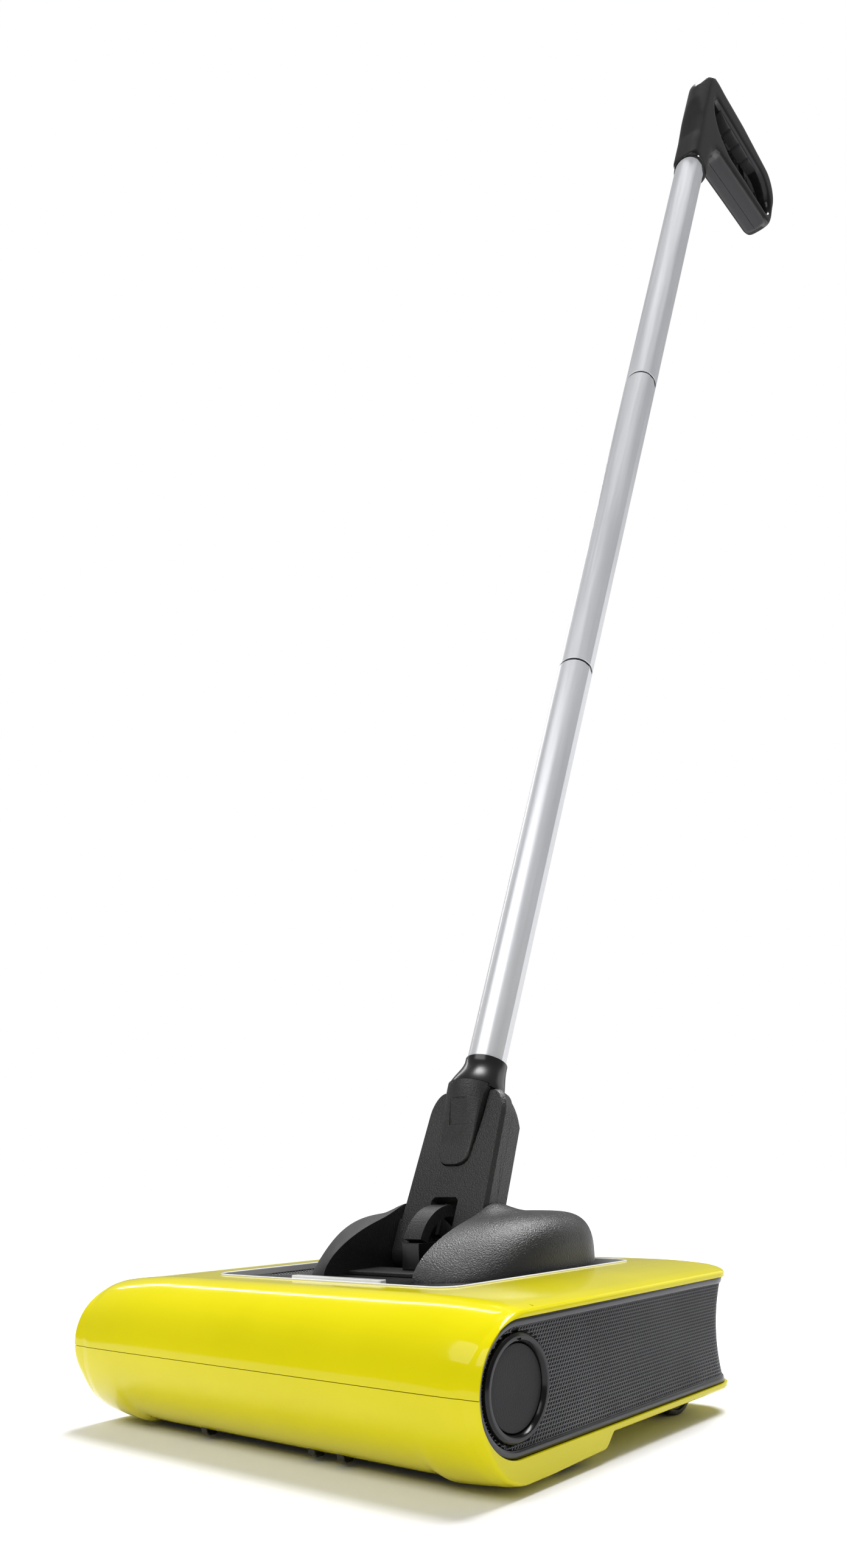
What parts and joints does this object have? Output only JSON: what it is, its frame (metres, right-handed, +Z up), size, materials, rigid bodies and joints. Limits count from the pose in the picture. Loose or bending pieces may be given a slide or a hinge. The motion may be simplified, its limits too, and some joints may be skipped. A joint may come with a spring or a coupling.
{
  "type": "carpet sweeper",
  "caption": "Low cordless carpet sweeper: rounded head with driven brush, mesh side panels, lift-out dust container, domed tilt joint, faceted tube and looped grip.",
  "frame": {"origin": "bottom centre of the whole object's box, on the floor", "axes": "+Z up, -Y towards the rounded front of the head, +X to the right seen from the front; the handle leans back towards +Y at rest"},
  "size_m": [0.266, 0.6551, 1.0397],
  "materials": {
    "yellow_shell": "high gloss moulded plastic",
    "grained_black": "fine grained moulded plastic",
    "smooth_black": "satin moulded plastic",
    "grille": "raised mesh pattern",
    "tube_metal": "satin anodised",
    "steel": "bright",
    "rubber": "matt",
    "bristle": "nylon bristle",
    "battery_wrap": "shrink wrap",
    "tank_plastic": "smoked plastic",
    "circuit_green": "lacquered board",
    "rim_trim": "bright trim"
  },
  "bodies": {
    "head": {"upper_shell": "yellow_shell", "lower_shell": "yellow_shell", "side_grille_right": "grille", "side_grille_left": "grille", "rear_grille": "grille", "charge_socket": "smooth_black", "fixed_cap_ring": "smooth_black", "fixed_cap_disc": "grained_black", "chassis": "smooth_black", "sweep_lip": "rubber", "brush_bearing_right": "steel", "brush_bearing_left": "steel", "motor": "steel", "motor_bracket": "smooth_black", "drive_belt": "rubber", "battery_pack": "battery_wrap", "circuit_board": "circuit_green", "rear_right_axle": "steel", "rear_left_axle": "steel", "front_right_axle": "steel", "front_left_axle": "steel", "shell_screw_1": "steel", "shell_screw_2": "steel", "shell_screw_3": "steel", "shell_screw_4": "steel"},
    "brush": {"brush_core": "smooth_black", "bristle_row_1": "bristle", "bristle_row_2": "bristle", "bristle_row_3": "bristle", "bristle_row_4": "bristle", "brush_pulley": "smooth_black"},
    "motor_rotor": {"motor_rotor": "steel"},
    "rear_right_wheel": {"rear_right_wheel": "smooth_black", "rear_right_tyre": "rubber"},
    "rear_left_wheel": {"rear_left_wheel": "smooth_black", "rear_left_tyre": "rubber"},
    "front_right_wheel": {"front_right_wheel": "smooth_black"},
    "front_left_wheel": {"front_left_wheel": "smooth_black"},
    "release_cap": {"release_cap_ring": "smooth_black", "release_cap_disc": "grained_black"},
    "container": {"top_deck": "smooth_black", "deck_rim": "rim_trim", "dust_container": "tank_plastic", "joint_dome": "grained_black", "pivot_pin": "steel", "park_arm": "grained_black", "park_block": "smooth_black"},
    "handle": {"neck_front": "grained_black", "neck_rear": "grained_black", "tube_collar": "smooth_black", "tube_lower": "tube_metal", "tube_joint_1": "smooth_black", "tube_middle": "tube_metal", "tube_joint_2": "smooth_black", "tube_upper": "tube_metal", "grip_right": "smooth_black", "grip_left": "smooth_black", "grip_pad": "rubber", "grip_plug": "smooth_black"},
    "release_button": {"tube_release": "grained_black"}
  },
  "joints": [
    {"name": "brush_spin", "type": "hinge", "parent": "head", "child": "brush", "pos_m": [0, -0.28658, 0.0274], "axis": [1, 0, 0], "continuous": true},
    {"name": "motor_spin", "type": "hinge", "parent": "head", "child": "motor_rotor", "pos_m": [-0.1, -0.23658, 0.037], "axis": [1, 0, 0], "continuous": true},
    {"name": "rear_right_roll", "type": "hinge", "parent": "head", "child": "rear_right_wheel", "pos_m": [0.108, -0.13458, 0.018], "axis": [1, 0, 0], "continuous": true},
    {"name": "rear_left_roll", "type": "hinge", "parent": "head", "child": "rear_left_wheel", "pos_m": [-0.108, -0.13458, 0.018], "axis": [1, 0, 0], "continuous": true},
    {"name": "front_right_roll", "type": "hinge", "parent": "head", "child": "front_right_wheel", "pos_m": [0.118, -0.25658, 0.01], "axis": [1, 0, 0], "continuous": true},
    {"name": "front_left_roll", "type": "hinge", "parent": "head", "child": "front_left_wheel", "pos_m": [-0.118, -0.25658, 0.01], "axis": [1, 0, 0], "continuous": true},
    {"name": "release_cap_turn", "type": "hinge", "parent": "head", "child": "release_cap", "pos_m": [0.13, -0.30208, 0.0432], "axis": [1, 0, 0], "range_deg": [0, 45]},
    {"name": "container_lift", "type": "slide", "parent": "head", "child": "container", "axis": [0, 0, 1], "range_m": [0, 0.065]},
    {"name": "handle_tilt", "type": "hinge", "parent": "container", "child": "handle", "pos_m": [0, -0.18458, 0.083], "axis": [-1, 0, 0], "range_deg": [-22.4, 52]},
    {"name": "tube_release_press", "type": "slide", "parent": "handle", "child": "release_button", "axis": [0, 0.9245, -0.3811], "range_m": [0, 0.0018], "stiffness_N_per_m": 700}
  ],
  "couplings": [
    {"joint": "motor_spin", "follows": "brush_spin", "ratio": 2.5}
  ]
}
